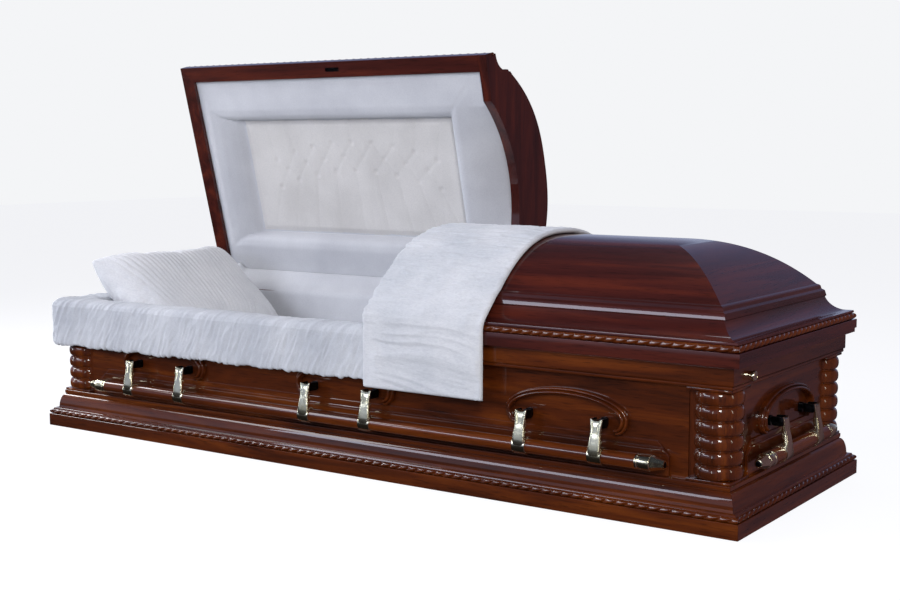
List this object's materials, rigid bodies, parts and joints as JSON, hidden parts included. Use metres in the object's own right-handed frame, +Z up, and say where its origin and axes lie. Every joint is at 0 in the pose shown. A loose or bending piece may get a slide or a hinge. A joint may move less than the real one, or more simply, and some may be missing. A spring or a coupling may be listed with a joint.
{
  "type": "funeral casket",
  "caption": "Half-couch hardwood casket in glossy mahogany with swing-bar handles, rope mouldings, turned corner columns, open head lid and white crepe interior.",
  "frame": {"origin": "centre of the plinth's underside, on the floor", "axes": "+X towards the foot end, -Y the front that faces the mourners, +Z up; the head lid hinges on the +Y side"},
  "size_m": [2.111, 0.8728, 1.0418],
  "materials": {
    "mahogany": "high-gloss lacquer over dark red-brown stain",
    "antique_brass": "polished antique brass plate",
    "dark_metal": "satin black",
    "crepe": "shirred white crepe",
    "satin": "padded white crepe"
  },
  "bodies": {
    "casket": {"arch_back_left": "mahogany", "arch_back_middle": "mahogany", "arch_back_right": "mahogany", "arch_foot_middle": "mahogany", "arch_front_left": "mahogany", "arch_front_middle": "mahogany", "arch_front_right": "mahogany", "arch_head_middle": "mahogany", "body_lining": "satin", "bottom_board": "mahogany", "corner_column_foot_back": "mahogany", "corner_column_foot_front": "mahogany", "corner_column_head_back": "mahogany", "corner_column_head_front": "mahogany", "foot_lid_hinge_body_leaf": "antique_brass", "handle_board_back": "mahogany", "handle_board_foot": "mahogany", "handle_board_front": "mahogany", "handle_board_head": "mahogany", "head_lid_hinge_body_leaf": "antique_brass", "key_cover": "antique_brass", "mattress": "crepe", "pillow": "crepe", "plinth_moulding_back": "mahogany", "plinth_moulding_foot": "mahogany", "plinth_moulding_front": "mahogany", "plinth_moulding_head": "mahogany", "plinth_rope": "mahogany", "side_panel_back": "mahogany", "side_panel_foot": "mahogany", "side_panel_front": "mahogany", "side_panel_head": "mahogany", "skirt": "crepe", "top_rail_back": "mahogany", "top_rail_foot": "mahogany", "top_rail_front": "mahogany", "top_rail_head": "mahogany"},
    "head_lid": {"head_lid_cap_panel": "satin", "head_lid_catch": "dark_metal", "head_lid_end_board": "mahogany", "head_lid_hinge_lid_leaf": "antique_brass", "head_lid_roll_border": "satin", "head_lid_rope": "mahogany", "head_lid_shell": "mahogany"},
    "foot_lid": {"foot_lid_end_board": "mahogany", "foot_lid_hinge_lid_leaf": "antique_brass", "foot_lid_latch": "dark_metal", "foot_lid_lining": "satin", "foot_lid_rope": "mahogany", "foot_lid_shell": "mahogany", "throw": "crepe"},
    "swing_bar_front": {"handle_front": "mahogany"},
    "swing_bar_back": {"handle_back": "mahogany"},
    "swing_bar_head": {"handle_head": "mahogany"},
    "swing_bar_foot": {"handle_foot": "mahogany"}
  },
  "joints": [
    {"name": "head_lid_hinge", "type": "hinge", "parent": "casket", "child": "head_lid", "pos_m": [-0.4815, 0.35, 0.3501], "axis": [1, 0, 0], "range_deg": [0, 75.5], "deforming": ["skirt", "pillow"]},
    {"name": "foot_lid_hinge", "type": "hinge", "parent": "casket", "child": "foot_lid", "pos_m": [0.5705, 0.35, 0.3501], "axis": [-1, 0, 0], "range_deg": [0, 75.5]},
    {"name": "front_bar_swing", "type": "hinge", "parent": "casket", "child": "swing_bar_front", "pos_m": [0, -0.337, 0.203], "axis": [-1, 0, 0], "range_deg": [0, 60]},
    {"name": "back_bar_swing", "type": "hinge", "parent": "casket", "child": "swing_bar_back", "pos_m": [0, 0.337, 0.203], "axis": [1, 0, 0], "range_deg": [0, 60]},
    {"name": "foot_bar_swing", "type": "hinge", "parent": "casket", "child": "swing_bar_foot", "pos_m": [1.023, 0, 0.203], "axis": [0, -1, 0], "range_deg": [0, 60]},
    {"name": "head_bar_swing", "type": "hinge", "parent": "casket", "child": "swing_bar_head", "pos_m": [-1.023, 0, 0.203], "axis": [0, 1, 0], "range_deg": [0, 60]}
  ]
}
